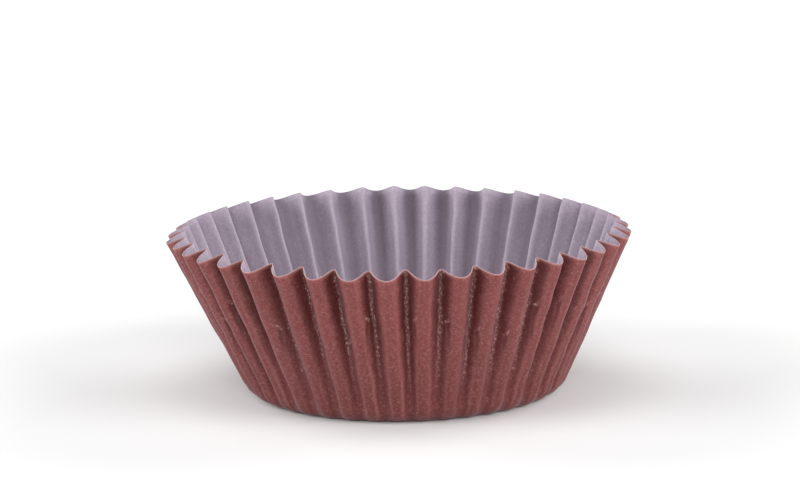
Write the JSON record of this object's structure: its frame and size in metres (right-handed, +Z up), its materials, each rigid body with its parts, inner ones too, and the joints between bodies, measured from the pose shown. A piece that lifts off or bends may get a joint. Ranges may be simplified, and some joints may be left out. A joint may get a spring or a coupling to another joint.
{
  "type": "cupcake liner",
  "caption": "Fluted round paper cup for baking one cupcake, brown outside and lilac-grey inside, with a flat base, a leaning wall and a waved cut rim.",
  "frame": {"origin": "centre of the flat base, on the surface that it rests on", "axes": "+Z up through the open mouth, the axis that the flutes go round; -Y towards the viewer of the picture; a ridge lies on +X"},
  "size_m": [0.0734, 0.0734, 0.0258],
  "materials": {
    "paper": "matte"
  },
  "bodies": {
    "root": {"liner": "paper"}
  },
  "joints": []
}
